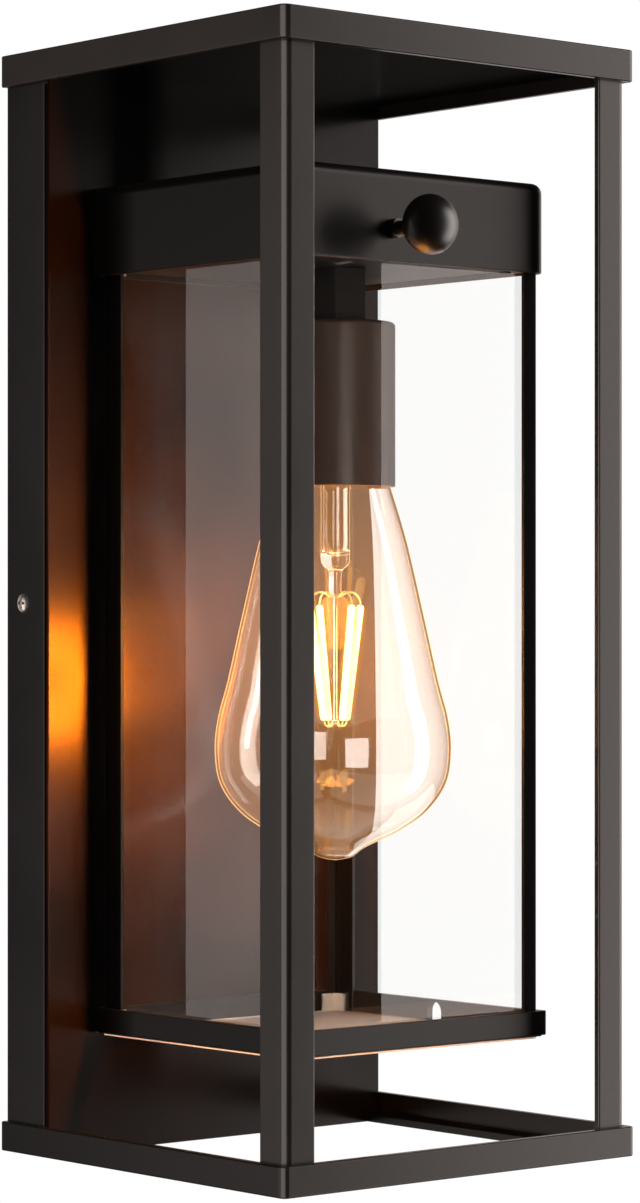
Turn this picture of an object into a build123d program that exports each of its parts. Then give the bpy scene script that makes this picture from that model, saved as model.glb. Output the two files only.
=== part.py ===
from build123d import *
from math import asin, cos, radians, sin
import os

# Outdoor wall lantern, millimetres. +X runs to the right of someone facing it, -Y comes out of the wall
# towards them, +Z is up. The origin is the centre of the wall bracket's wire hole, on the wall's surface.

# Outer frame
total_height = 305.0
total_width = 126.6
total_depth = 122.4
cap_height = 8.8
cap_sheet = 1.5
lip_thickness = 2.0
soffit_recess = 3.8
soffit_sheet = 1.2
rail_height = 8.2
rail_thickness = 2.0
rail_leg = 7.0
post_leg = 10.2
post_sheet = 1.7
corner_radius = 2.3
base_corner_radius = 1.9
edge_radius = 0.5

# Back pan and the parts that hold it to the wall
pan_depth = 18.0
pan_sheet = 1.5
pan_corner_radius = 1.2
side_screw_y = -7.7
side_screw_radius = 1.95
bracket_sheet = 1.5
bracket_half_height = 30.0
bracket_gap = 0.6
ear_depth = 14.0
ear_half_height = 15.0
wire_hole_radius = 8.0
slot_spacing = 80.0
slot_length = 24.0
slot_width = 4.6
gasket_width = 4.0
gasket_thickness = 3.0

# Head of the inner lantern
head_half_width = 45.0
head_front_y = -106.4
head_bottom_z = 90.8
head_top_z = 115.7
head_sheet = 1.2
head_corner_radius = 4.0
head_top_radius = 3.0
head_screw_x = 30.0
head_screw_z = 100.0
head_screw_radius = 1.9
lead_z = 108.5
lead_hole_radius = 4.0

# Lampholder
lamp_y = -68.2
sleeve_radius = 16.5
sleeve_wall = 1.0
sleeve_bottom_z = 32.0
sleeve_top_z = 77.3
nipple_radius = 5.0
nipple_bore_radius = 3.5
nipple_clearance = 0.05
coupler_corner_radius = 9.4
carrier_sheet = 1.2
carrier_underside_z = 92.0
lead_radius = 1.0
lead_offset = 1.6

# Shade: the glass cage that drops out of the head
shade_inset = 2.0
shade_sheet = 1.0
shade_bottom_z = -119.1
shade_rail_height = 6.7
shade_rear_y = -20.0
shade_rear_rail = 1.4
front_post_leg = 5.0
rear_post_leg = 8.0
pane_thickness = 1.8
pane_gap = 0.2
collar_bottom_z = 94.2
collar_top_z = 105.0
collar_sheet = 1.2
floor_top_z = -118.3
notch_radius = 2.9
notch_height = 5.4

# Ball thumbscrew
knob_x = -12.3
knob_z = 99.5
ball_y = -121.7
ball_radius = 8.0
ball_half_length = 6.7
stud_radius = 1.5
stud_clearance = 0.05

# Filament bulb
bulb_radius = 32.0
bulb_tip_z = -70.9
bulb_neck_radius = 14.3
bulb_wall = 0.8
cap_radius = 13.0
cap_bottom_z = 43.5
cap_top_z = 66.5
contact_top_z = 70.3
filament_top_radius = 8.3
filament_radius = 1.05
filament_bottom_radius = 3.6
filament_top_z = -0.5
filament_bottom_z = -32.5
filament_angles = (-8, 82, 172, 262)

top_z = total_height / 2
base_z = -top_z
half_width = total_width / 2
front_y = -total_depth
frame_half_width = half_width - lip_thickness
frame_front_y = front_y + lip_thickness
soffit_z = top_z - cap_height + soffit_recess
pan_front_y = -pan_depth
lamp_axis = Axis((0, lamp_y, 0), (0, 0, 1))
knob_axis = Axis((knob_x, ball_y, knob_z), (0, -1, 0))
lamp_plane = Plane(origin=(0, lamp_y, 0), x_dir=(1, 0, 0), z_dir=(0, -1, 0))
knob_plane = Plane(origin=(knob_x, ball_y, knob_z), x_dir=(0, -1, 0), z_dir=(0, 0, 1))

os.makedirs("parts", exist_ok=True)


def save(piece, label):
    piece.part.label = label
    export_step(piece.part, f"parts/{label}.step")


def block(x_range, y_range, z_range, mode=Mode.ADD):
    sizes = [high - low for low, high in (x_range, y_range, z_range)]
    middle = Vector(*[(low + high) / 2 for low, high in (x_range, y_range, z_range)])
    with Locations(middle):
        Box(*sizes, mode=mode)


def upright_hole(x, y, z_range, radius):
    with Locations((x, y, sum(z_range) / 2)):
        Cylinder(radius, z_range[1] - z_range[0], mode=Mode.SUBTRACT)


def level_hole(x, y_range, z, radius):
    with Locations((x, sum(y_range) / 2, z)):
        Cylinder(radius, y_range[1] - y_range[0], rotation=(90, 0, 0), mode=Mode.SUBTRACT)


def upright_edges(piece, *places):
    uprights = piece.edges().filter_by(Axis.Z)
    return [uprights.sort_by_distance((x, y, 0))[0] for x, y in places]


def edges_at(piece, z, keep):
    level = piece.edges().filter_by(lambda edge: abs(edge.center().Z - z) < 0.01)
    return level.filter_by(lambda edge: keep(edge.center()))


def outer_edge(centre):
    return centre.Y < front_y + 1 or abs(centre.X) > half_width - 1


# Roof cap: a tray whose front and side lips hang down, with a short rear lip that ends on the pan
with BuildPart() as roof_cap:
    block((-half_width, half_width), (front_y, 0), (top_z - cap_height, top_z))
    fillet(upright_edges(roof_cap, (-half_width, front_y), (half_width, front_y)), corner_radius)
    fillet(roof_cap.faces().sort_by(Axis.Z)[-1].edges(), edge_radius)
    fillet(edges_at(roof_cap, top_z - cap_height, outer_edge), edge_radius)
    block(
        (-frame_half_width, frame_half_width),
        (frame_front_y, -lip_thickness),
        (soffit_z, top_z - cap_sheet),
        Mode.SUBTRACT,
    )
    block(
        (-frame_half_width, frame_half_width),
        (frame_front_y, 0),
        (top_z - cap_height, soffit_z),
        Mode.SUBTRACT,
    )
save(roof_cap, "roof_cap")

with BuildPart() as roof_soffit:
    block(
        (-frame_half_width, frame_half_width),
        (frame_front_y, -lip_thickness),
        (soffit_z, soffit_z + soffit_sheet),
    )
save(roof_soffit, "roof_soffit")


# Corner posts: equal angles that stand on the rails' legs and reach the soffit
def corner_post(side, label):
    outer_x = side * frame_half_width
    end_x = side * (frame_half_width - post_leg)
    post_range = (base_z + rail_thickness, soffit_z)
    with BuildPart() as post:
        block(
            sorted((outer_x, end_x)),
            (frame_front_y, frame_front_y + post_leg),
            post_range,
        )
        block(
            sorted((outer_x - side * post_sheet, end_x)),
            (frame_front_y + post_sheet, frame_front_y + post_leg),
            post_range,
            Mode.SUBTRACT,
        )
        fillet(upright_edges(post, (outer_x, frame_front_y)), corner_radius)
        fillet(
            upright_edges(post, (end_x, frame_front_y), (outer_x, frame_front_y + post_leg)),
            edge_radius,
        )
    save(post, label)


corner_post(-1, "corner_post_left")
corner_post(1, "corner_post_right")

# Base frame: three angles with their level legs inwards, closed at the rear by the pan
with BuildPart() as base_rail_front:
    block((-half_width, half_width), (front_y, frame_front_y), (base_z, base_z + rail_height))
    base_corners = upright_edges(base_rail_front, (-half_width, front_y), (half_width, front_y))
    fillet(base_corners, base_corner_radius)
    fillet(edges_at(base_rail_front, base_z + rail_height, outer_edge), edge_radius)
    fillet(edges_at(base_rail_front, base_z, outer_edge), edge_radius)
    block(
        (-frame_half_width, frame_half_width),
        (frame_front_y, front_y + rail_leg),
        (base_z, base_z + rail_thickness),
    )
save(base_rail_front, "base_rail_front")


def base_side_rail(side, label):
    with BuildPart() as rail:
        block(
            sorted((side * frame_half_width, side * half_width)),
            (frame_front_y, 0),
            (base_z, base_z + rail_height),
        )
        for edge_z in (base_z, base_z + rail_height):
            fillet(edges_at(rail, edge_z, lambda centre: abs(centre.X) > half_width - 0.1), edge_radius)
        block(
            sorted((side * (half_width - rail_leg), side * frame_half_width)),
            (front_y + rail_leg, pan_front_y),
            (base_z, base_z + rail_thickness),
        )
    save(rail, label)


base_side_rail(-1, "base_rail_left")
base_side_rail(1, "base_rail_right")

# Back pan: a deep box open towards the wall, full height between the cap and the floor of the base frame
pan_inner_x = frame_half_width - pan_sheet
pan_inner_y = pan_front_y + pan_sheet
weep_hole_x = 40.0
weep_hole_radius = 2.0
with BuildPart() as back_pan:
    block((-frame_half_width, frame_half_width), (pan_front_y, 0), (base_z, soffit_z))
    fillet(
        upright_edges(back_pan, (-frame_half_width, pan_front_y), (frame_half_width, pan_front_y)),
        pan_corner_radius,
    )
    block(
        (-pan_inner_x, pan_inner_x),
        (pan_inner_y, 0),
        (base_z + pan_sheet, soffit_z - pan_sheet),
        Mode.SUBTRACT,
    )
    with Locations((0, side_screw_y, 0)):
        Cylinder(side_screw_radius + 0.3, total_width, rotation=(0, 90, 0), mode=Mode.SUBTRACT)
    for screw_x in (-head_screw_x, head_screw_x):
        level_hole(screw_x, (pan_front_y, pan_inner_y), head_screw_z, head_screw_radius + 0.2)
    level_hole(0, (pan_front_y, pan_inner_y), lead_z, lead_hole_radius)
    for hole_x in (-weep_hole_x, weep_hole_x):
        upright_hole(hole_x, pan_front_y / 2, (base_z, base_z + pan_sheet), weep_hole_radius)
save(back_pan, "back_pan")

# Foam gasket: one strip round the upper half of the pan's open side and one round the lower half
gasket_end_z = bracket_half_height + 4
with BuildPart() as wall_gasket:
    for sign, limit_z in ((1, soffit_z - pan_sheet), (-1, base_z + pan_sheet)):
        block(
            (-pan_inner_x, pan_inner_x),
            (-gasket_thickness, 0),
            sorted((sign * gasket_end_z, limit_z)),
        )
        block(
            (gasket_width - pan_inner_x, pan_inner_x - gasket_width),
            (-gasket_thickness, 0),
            sorted((sign * gasket_end_z, limit_z - sign * gasket_width)),
            Mode.SUBTRACT,
        )
save(wall_gasket, "wall_gasket")

# Wall bracket: a plate with two slots for the box screws, and ears that take the side screws
bracket_half_width = pan_inner_x - bracket_gap
bracket_corner_radius = 4.0
ground_x = -20.0
ground_z = 20.0
with BuildPart() as wall_bracket:
    block(
        (-bracket_half_width, bracket_half_width),
        (-bracket_sheet, 0),
        (-bracket_half_height, bracket_half_height),
    )
    fillet(wall_bracket.edges().filter_by(Axis.Y), bracket_corner_radius)
    for side in (-1, 1):
        block(
            sorted((side * bracket_half_width, side * (bracket_half_width - bracket_sheet))),
            (-ear_depth, 0),
            (-ear_half_height, ear_half_height),
        )
    with Locations((0, side_screw_y, 0)):
        Cylinder(side_screw_radius + 0.05, total_width, rotation=(0, 90, 0), mode=Mode.SUBTRACT)
    level_hole(0, (-bracket_sheet, 0), 0, wire_hole_radius)
    level_hole(ground_x, (-bracket_sheet, 0), ground_z, side_screw_radius + 0.05)
    with BuildSketch(Plane.XZ):
        with Locations((-slot_spacing / 2, 0), (slot_spacing / 2, 0)):
            SlotOverall(slot_length, slot_width)
    extrude(amount=bracket_sheet, mode=Mode.SUBTRACT)
save(wall_bracket, "wall_bracket")

# Side screws: one through each flange of the pan into the bracket's ear
side_head_radius = 2.7
side_head_height = 1.1
side_shank_end = bracket_half_width - 4.5
with BuildPart() as side_screws:
    for side in (-1, 1):
        with Locations((side * (frame_half_width + side_shank_end) / 2, side_screw_y, 0)):
            Cylinder(side_screw_radius, frame_half_width - side_shank_end, rotation=(0, 90, 0))
        with Locations((side * (frame_half_width + side_head_height / 2), side_screw_y, 0)):
            Cylinder(side_head_radius, side_head_height, rotation=(0, 90, 0))
    rims = side_screws.edges().filter_by(
        lambda edge: abs(edge.center().X) > frame_half_width + side_head_height - 0.01
    )
    fillet(rims, 0.7)
save(side_screws, "side_screws")

# Head shell: a drawn box, open below, with rounded front corners and top edges
head_inner_x = head_half_width - head_sheet
head_inner_front_y = head_front_y + head_sheet
head_rear_y = pan_front_y - head_sheet
bush_hole_radius = 2.45
with BuildPart() as head_shell:
    block((-head_half_width, head_half_width), (head_front_y, pan_front_y), (head_bottom_z, head_top_z))
    fillet(
        upright_edges(head_shell, (-head_half_width, head_front_y), (head_half_width, head_front_y)),
        head_corner_radius,
    )
    fillet(
        edges_at(head_shell, head_top_z, lambda centre: centre.Y < pan_front_y - 0.1),
        head_top_radius,
    )
    fillet(
        edges_at(head_shell, head_bottom_z, lambda centre: centre.Y < pan_front_y - 0.1),
        edge_radius,
    )
    with BuildSketch(Plane.XY.offset(head_bottom_z)) as head_inside:
        with Locations((0, (head_inner_front_y + head_rear_y) / 2)):
            Rectangle(2 * head_inner_x, head_rear_y - head_inner_front_y)
        fillet(head_inside.vertices().sort_by(Axis.Y)[0:2], head_corner_radius - head_sheet)
    extrude(amount=head_top_z - head_sheet - head_bottom_z, mode=Mode.SUBTRACT)
    level_hole(knob_x, (head_front_y, head_inner_front_y), knob_z, bush_hole_radius)
    level_hole(0, (head_rear_y, pan_front_y), lead_z, lead_hole_radius)
    for screw_x in (-head_screw_x, head_screw_x):
        level_hole(screw_x, (head_rear_y, pan_front_y), head_screw_z, head_screw_radius)
save(head_shell, "head_shell")

# Head screws: driven from inside the pan into the head's rear wall, over a washer or the ground terminal
screw_washer = 0.8
screw_head_y = pan_inner_y + screw_washer
screw_head_height = 2.2
screw_head_radius = 3.6
with BuildPart() as head_screws:
    for screw_x in (-head_screw_x, head_screw_x):
        screw_tip_y = head_rear_y - 0.9
        with Locations((screw_x, (screw_tip_y + screw_head_y) / 2, head_screw_z)):
            Cylinder(head_screw_radius - 0.05, screw_head_y - screw_tip_y, rotation=(90, 0, 0))
        with Locations((screw_x, screw_head_y + screw_head_height / 2, head_screw_z)):
            Cylinder(screw_head_radius, screw_head_height, rotation=(90, 0, 0))
    rims = head_screws.edges().filter_by(
        lambda edge: edge.center().Y > screw_head_y + screw_head_height - 0.01
    )
    fillet(rims, 0.9)
save(head_screws, "head_screws")

with BuildPart() as screw_washer_right:
    with Locations((head_screw_x, pan_inner_y + screw_washer / 2, head_screw_z)):
        Cylinder(4.2, screw_washer, rotation=(90, 0, 0))
    level_hole(head_screw_x, (pan_inner_y, screw_head_y), head_screw_z, head_screw_radius + 0.1)
save(screw_washer_right, "screw_washer")

# Lamp carrier: the head's ceiling, with two flanges whose tabs are welded under the head's top
carrier_x = 39.2
carrier_front_y = -101.0
carrier_rear_y = -22.8
carrier_tab = 6.0
carrier_top_z = head_top_z - head_sheet
with BuildPart() as lamp_carrier:
    block(
        (-carrier_x, carrier_x),
        (carrier_front_y, carrier_rear_y),
        (carrier_underside_z, carrier_underside_z + carrier_sheet),
    )
    for side in (-1, 1):
        block(
            sorted((side * carrier_x, side * (carrier_x - carrier_sheet))),
            (carrier_front_y + 6, carrier_rear_y - 6),
            (carrier_underside_z, carrier_top_z),
        )
        block(
            sorted((side * carrier_x, side * (carrier_x - carrier_tab))),
            (carrier_front_y + 6, carrier_rear_y - 6),
            (carrier_top_z - carrier_sheet, carrier_top_z),
        )
    upright_hole(
        0,
        lamp_y,
        (carrier_underside_z, carrier_underside_z + carrier_sheet),
        nipple_radius + nipple_clearance,
    )
save(lamp_carrier, "lamp_carrier")


# Lampholder hardware, from the bottom up on one threaded nipple
def ring(label, z_range, outer_radius, inner_radius, sides=0, turn=0.0, soften=0.0):
    with BuildPart() as piece:
        with BuildSketch(Plane.XY.offset(z_range[0])):
            with Locations((0, lamp_y)):
                if sides:
                    RegularPolygon(outer_radius, sides, rotation=turn)
                else:
                    Circle(outer_radius)
                Circle(inner_radius, mode=Mode.SUBTRACT)
        extrude(amount=z_range[1] - z_range[0])
        if soften:
            rims = piece.faces().filter_by(Axis.Z).edges()
            fillet(rims.filter_by(GeomType.LINE), soften)
    save(piece, label)


nut_bottom_z = 73.2
sleeve_roof_z = sleeve_top_z - 1.2
washer_z = carrier_underside_z + carrier_sheet
bore_radius = nipple_radius + nipple_clearance
nipple_top_z = 99.0
ring("threaded_nipple", (nut_bottom_z, nipple_top_z), nipple_radius, nipple_bore_radius)
ring("socket_nut", (nut_bottom_z, sleeve_roof_z), 8.0, bore_radius, sides=6)
ring(
    "hex_coupler",
    (sleeve_top_z, carrier_underside_z),
    coupler_corner_radius,
    bore_radius,
    sides=6,
    turn=-10.5,
    soften=0.4,
)
ring("lock_washer", (washer_z, washer_z + 1.0), 9.0, bore_radius)
ring("lock_nut", (washer_z + 1.0, washer_z + 5.0), 9.2, bore_radius, sides=6, turn=20, soften=0.4)

with BuildPart() as socket_sleeve:
    with BuildSketch(lamp_plane):
        with Locations((0, sleeve_bottom_z)):
            Rectangle(sleeve_radius, sleeve_top_z - sleeve_bottom_z, align=(Align.MIN, Align.MIN))
            Rectangle(
                sleeve_radius - sleeve_wall,
                sleeve_roof_z - sleeve_bottom_z,
                align=(Align.MIN, Align.MIN),
                mode=Mode.SUBTRACT,
            )
        with Locations((0, sleeve_roof_z)):
            Rectangle(bore_radius, 3, align=(Align.MIN, Align.MIN), mode=Mode.SUBTRACT)
    revolve(axis=lamp_axis)
    outer_rims = socket_sleeve.edges().filter_by(GeomType.CIRCLE)
    outer_rims = outer_rims.filter_by(lambda edge: abs(edge.radius - sleeve_radius) < 0.01)
    fillet(outer_rims.sort_by(Axis.Z)[-1], 1.3)
    fillet(outer_rims.sort_by(Axis.Z)[0], 0.4)
save(socket_sleeve, "socket_sleeve")

# Socket body: porcelain cup with two holes for the leads
shell_radius = cap_radius + 0.35
shell_sheet = 0.5
cavity_radius = shell_radius + shell_sheet + 0.05
cavity_top_z = 71.4
body_range = (44.0, nut_bottom_z)
with BuildPart() as socket_body:
    with BuildSketch(Plane.XY.offset(body_range[0])):
        with Locations((0, lamp_y)):
            Circle(sleeve_radius - sleeve_wall - 0.2)
    extrude(amount=body_range[1] - body_range[0])
    upright_hole(0, lamp_y, (body_range[0], cavity_top_z), cavity_radius)
save(socket_body, "socket_body")
ring("screw_shell", (45.0, 68.0), shell_radius + shell_sheet, shell_radius)

with BuildPart() as centre_contact:
    block((-3, 3), (lamp_y - 8, lamp_y + 8), (contact_top_z + 0.4, cavity_top_z))
save(centre_contact, "centre_contact")

# Knob bush: riveted through the head's front wall
bush_front_y = head_front_y - 2.4
bush_rear_y = head_inner_front_y + 0.5
with BuildPart() as knob_bush:
    with Locations((knob_x, (bush_front_y + head_front_y) / 2, knob_z)):
        Cylinder(2.6, head_front_y - bush_front_y, rotation=(90, 0, 0))
    with Locations((knob_x, (head_front_y + bush_rear_y) / 2, knob_z)):
        Cylinder(bush_hole_radius - 0.05, bush_rear_y - head_front_y, rotation=(90, 0, 0))
    level_hole(knob_x, (bush_front_y, bush_rear_y), knob_z, stud_radius + stud_clearance)
save(knob_bush, "knob_bush")


# Wiring: each lead is a round wire whose route is straight runs joined by arcs
def lead(label, route, radii, radius):
    with BuildPart() as wire:
        with BuildLine():
            FilletPolyline(*route, radius=radii)
        with BuildSketch(Plane(origin=route[0], z_dir=Vector(*route[1]) - Vector(*route[0]))):
            Circle(radius)
        sweep()
    save(wire, label)


connector_x = 7.5
connector_y = -8.5
connector_top_z = 66.0
for side, name in ((-1, "lead_neutral"), (1, "lead_live")):
    lead(
        name,
        [
            (side * lead_offset, lamp_y, nut_bottom_z),
            (side * lead_offset, lamp_y, lead_z),
            (side * lead_offset, connector_y, lead_z),
            (side * connector_x, connector_y, 82.0),
            (side * connector_x, connector_y, connector_top_z - 6),
        ],
        [9.0, 7.8, 20.0],
        lead_radius,
    )

grommet_radius = 5.2
with BuildPart() as lead_grommet:
    for low, high, radius in (
        (head_rear_y - 0.9, head_rear_y, grommet_radius),
        (head_rear_y, pan_inner_y, lead_hole_radius - 0.05),
        (pan_inner_y, pan_inner_y + 1.0, grommet_radius),
    ):
        with Locations((0, (low + high) / 2, lead_z)):
            Cylinder(radius, high - low, rotation=(90, 0, 0))
    level_hole(0, (head_rear_y - 0.9, pan_inner_y + 1.0), lead_z, 3.0)
save(lead_grommet, "lead_grommet")

# Twist-on connectors for the supply wires, waiting in the pan
connector_length = 24.0
connector_radius = 5.2
with BuildPart() as wire_connectors:
    with BuildSketch(Plane.XY.offset(connector_top_z)):
        with Locations((-connector_x, connector_y), (connector_x, connector_y)):
            Circle(connector_radius)
    extrude(amount=-connector_length, taper=4)
    for x in (-connector_x, connector_x):
        upright_hole(x, connector_y, (connector_top_z - 12, connector_top_z), 1.4)
save(wire_connectors, "wire_connectors")

# Ground wire from the left head screw to the bracket's own screw, with a ring terminal at each end
terminal_sheet = 0.8
barrel_radius = 1.7
ground_radius = 0.9
upper_barrel_z = (head_screw_z - 11.0, head_screw_z - 4.2)
lower_barrel_z = (ground_z + 4.2, ground_z + 11.0)
upper_barrel_y = pan_inner_y + barrel_radius
lower_barrel_y = -bracket_sheet - barrel_radius
ground_head_y = -bracket_sheet - terminal_sheet
terminal_radius = 4.2
with BuildPart() as ring_terminals:
    for x, z, plate_y, barrel_y, barrel_z in (
        (-head_screw_x, head_screw_z, (pan_inner_y, screw_head_y), upper_barrel_y, upper_barrel_z),
        (ground_x, ground_z, (ground_head_y, -bracket_sheet), lower_barrel_y, lower_barrel_z),
    ):
        with Locations((x, sum(plate_y) / 2, z)):
            Cylinder(terminal_radius, terminal_sheet, rotation=(90, 0, 0))
        nearest = min(barrel_z, key=lambda height: abs(height - z))
        block((x - 1.2, x + 1.2), plate_y, sorted((z, nearest)))
        level_hole(x, plate_y, z, side_screw_radius + 0.05)
        with Locations((x, barrel_y, sum(barrel_z) / 2)):
            Cylinder(barrel_radius, barrel_z[1] - barrel_z[0])
        upright_hole(x, barrel_y, barrel_z, ground_radius + 0.05)
save(ring_terminals, "ring_terminals")

lead(
    "ground_lead",
    [
        (-head_screw_x, upper_barrel_y, upper_barrel_z[1]),
        (-head_screw_x, upper_barrel_y, upper_barrel_z[0] - 5),
        (-head_screw_x - 2, -9.5, 66.0),
        (ground_x - 5, -6.0, 46.0),
        (ground_x, lower_barrel_y, lower_barrel_z[1] + 5),
        (ground_x, lower_barrel_y, lower_barrel_z[0]),
    ],
    [14.0, 24.0, 24.0, 12.0],
    ground_radius,
)

with BuildPart() as ground_screw:
    with Locations((ground_x, (ground_head_y - 0.05) / 2, ground_z)):
        Cylinder(side_screw_radius, -ground_head_y - 0.05, rotation=(90, 0, 0))
    with Locations((ground_x, ground_head_y - screw_head_height / 2, ground_z)):
        Cylinder(3.9, screw_head_height, rotation=(90, 0, 0))
    fillet(ground_screw.edges().sort_by(Axis.Y)[0], 0.8)
save(ground_screw, "ground_screw")

# Shade ring: four bars round the floor pane
shade_half_width = head_half_width - shade_inset
shade_front_y = head_front_y + shade_inset
shade_rail_range = (shade_bottom_z, shade_bottom_z + shade_rail_height)
ring_rear_y = shade_rear_y + shade_rear_rail
with BuildPart() as shade_rail_front:
    block((-head_half_width, head_half_width), (head_front_y, shade_front_y), shade_rail_range)
    fillet(
        upright_edges(shade_rail_front, (-head_half_width, head_front_y), (head_half_width, head_front_y)),
        1.0,
    )
    for edge_z in shade_rail_range:
        fillet(edges_at(shade_rail_front, edge_z, lambda centre: centre.Y < head_front_y + 0.9), 0.3)
save(shade_rail_front, "shade_rail_front")

with BuildPart() as shade_rail_rear:
    block((-shade_half_width, shade_half_width), (shade_rear_y, ring_rear_y), shade_rail_range)
save(shade_rail_rear, "shade_rail_rear")


def shade_side_rail(side, label, notched):
    with BuildPart() as rail:
        block(
            sorted((side * shade_half_width, side * head_half_width)),
            (shade_front_y, ring_rear_y),
            shade_rail_range,
        )
        for edge_z in shade_rail_range:
            fillet(edges_at(rail, edge_z, lambda centre: abs(centre.X) > head_half_width - 0.1), 0.3)
        if notched:
            notch_y = (head_front_y + pan_front_y) / 2
            notch_x = side * (head_half_width - shade_inset / 2)
            arch_z = floor_top_z + notch_height - notch_radius
            block(
                (notch_x - 2, notch_x + 2),
                (notch_y - notch_radius, notch_y + notch_radius),
                (shade_bottom_z, arch_z),
                Mode.SUBTRACT,
            )
            with Locations((notch_x, notch_y, arch_z)):
                Cylinder(notch_radius, 4, rotation=(0, 90, 0), mode=Mode.SUBTRACT)
    save(rail, label)


shade_side_rail(-1, "shade_rail_left", notched=False)
shade_side_rail(1, "shade_rail_right", notched=True)


# Shade posts: slim angles from the floor pane to the top of the collar
def shade_post(side, corner_y, inward, legs, label):
    outer_x = side * shade_half_width
    leg_x, leg_y = legs
    post_range = (floor_top_z, collar_top_z)
    with BuildPart() as post:
        block(
            sorted((outer_x, outer_x - side * leg_x)),
            sorted((corner_y, corner_y + inward * leg_y)),
            post_range,
        )
        block(
            sorted((outer_x - side * shade_sheet, outer_x - side * leg_x)),
            sorted((corner_y + inward * shade_sheet, corner_y + inward * leg_y)),
            post_range,
            Mode.SUBTRACT,
        )
        fillet(upright_edges(post, (outer_x, corner_y)), 0.8)
    save(post, label)


for side, word in ((-1, "left"), (1, "right")):
    shade_post(side, shade_front_y, 1, (front_post_leg, front_post_leg), f"shade_post_front_{word}")
    shade_post(side, shade_rear_y, -1, (front_post_leg, rear_post_leg), f"shade_post_rear_{word}")

# Collar: a band inside the posts' tops, gripped by the thumbscrew
band_x = shade_half_width - shade_sheet
band_front_y = shade_front_y + shade_sheet
band_rear_y = shade_rear_y - shade_sheet
collar_range = (collar_bottom_z, collar_top_z)
with BuildPart() as shade_collar:
    block((-band_x, band_x), (band_front_y, band_rear_y), collar_range)
    block(
        (collar_sheet - band_x, band_x - collar_sheet),
        (band_front_y + collar_sheet, band_rear_y - collar_sheet),
        collar_range,
        Mode.SUBTRACT,
    )
save(shade_collar, "shade_collar")

# Panes: the front one runs behind both front posts, the side ones fill in behind it
pane_range = (floor_top_z, collar_bottom_z - pane_gap)
pane_front_rear_y = band_front_y + pane_thickness
with BuildPart() as pane_front:
    block((pane_gap - band_x, band_x - pane_gap), (band_front_y, pane_front_rear_y), pane_range)
save(pane_front, "pane_front")
for side, word in ((-1, "left"), (1, "right")):
    with BuildPart() as side_pane:
        block(
            sorted((side * band_x, side * (band_x - pane_thickness))),
            (pane_front_rear_y + pane_gap, band_rear_y - pane_gap),
            pane_range,
        )
    save(side_pane, f"pane_{word}")

floor_bottom_z = floor_top_z - pane_thickness
with BuildPart() as floor_pane:
    block(
        (pane_gap - shade_half_width, shade_half_width - pane_gap),
        (shade_front_y + pane_gap, shade_rear_y - pane_gap),
        (floor_bottom_z, floor_top_z),
    )
save(floor_pane, "floor_pane")

# Pane clips: small angles in the cage's four corners, at the bottom and just under the collar
clip_sheet = 0.5
clip_leg = 5.0
clip_ranges = ((floor_top_z, floor_top_z + 5.0), (collar_bottom_z - 3.0, collar_bottom_z))
clip_x = band_x - pane_thickness
with BuildPart() as pane_clips:
    for side in (-1, 1):
        for corner_y, inward in ((pane_front_rear_y, 1), (band_rear_y, -1)):
            for clip_range in clip_ranges:
                block(
                    sorted((side * clip_x, side * (clip_x - clip_leg))),
                    sorted((corner_y, corner_y + inward * clip_leg)),
                    clip_range,
                )
                block(
                    sorted((side * (clip_x - clip_sheet), side * (clip_x - clip_leg))),
                    sorted((corner_y + inward * clip_sheet, corner_y + inward * clip_leg)),
                    clip_range,
                    Mode.SUBTRACT,
                )
save(pane_clips, "pane_clips")

# Floor seal: a bead of black silicone under the rails that bonds the floor pane's edge to them
seal_width = 1.2
seal_height = 0.4
with BuildPart() as floor_seal:
    seal_range = (shade_bottom_z - seal_height, shade_bottom_z)
    pane_half_width = shade_half_width - pane_gap
    pane_front_y = shade_front_y + pane_gap
    pane_rear_y = shade_rear_y - pane_gap
    block(
        (-pane_half_width - seal_width, pane_half_width + seal_width),
        (pane_front_y - seal_width, pane_rear_y + seal_width),
        seal_range,
    )
    fillet(floor_seal.edges().filter_by(Axis.Z), seal_width / 2)
    block(
        (-pane_half_width, pane_half_width),
        (pane_front_y, pane_rear_y),
        seal_range,
        Mode.SUBTRACT,
    )
save(floor_seal, "floor_seal")

# Ball thumbscrew: a flattened ball with a neck, on a threaded stud that ends just short of the collar
neck_radius = 1.9
washer_y = bush_front_y - 0.6
neck_reach = washer_y - ball_y
with BuildPart() as knob_ball:
    with BuildSketch(knob_plane) as ball_half:
        Ellipse(ball_half_length, ball_radius)
        with Locations((-neck_reach / 2, 0)):
            Rectangle(neck_reach, 2 * neck_radius)
        with Locations((0, -ball_radius)):
            Rectangle(4 * neck_reach, 2 * ball_radius, mode=Mode.SUBTRACT)
    revolve(axis=knob_axis)
    level_hole(knob_x, (washer_y - 6, washer_y), knob_z, stud_radius)
save(knob_ball, "knob_ball")

stud_tip_y = band_front_y - 0.4
with BuildPart() as knob_stud:
    with Locations((knob_x, (washer_y - 6 + stud_tip_y) / 2, knob_z)):
        Cylinder(stud_radius, stud_tip_y - washer_y + 6, rotation=(90, 0, 0))
save(knob_stud, "knob_stud")

with BuildPart() as knob_washer:
    with Locations((knob_x, washer_y + 0.25, knob_z)):
        Cylinder(2.5, 0.5, rotation=(90, 0, 0))
    level_hole(knob_x, (washer_y, washer_y + 0.5), knob_z, stud_radius + stud_clearance)
save(knob_washer, "knob_washer")


# Bulb: a long pear of clear glass that ends in a shallow round pip
pip_radius = 8.4
pip_height = 3.7


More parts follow.
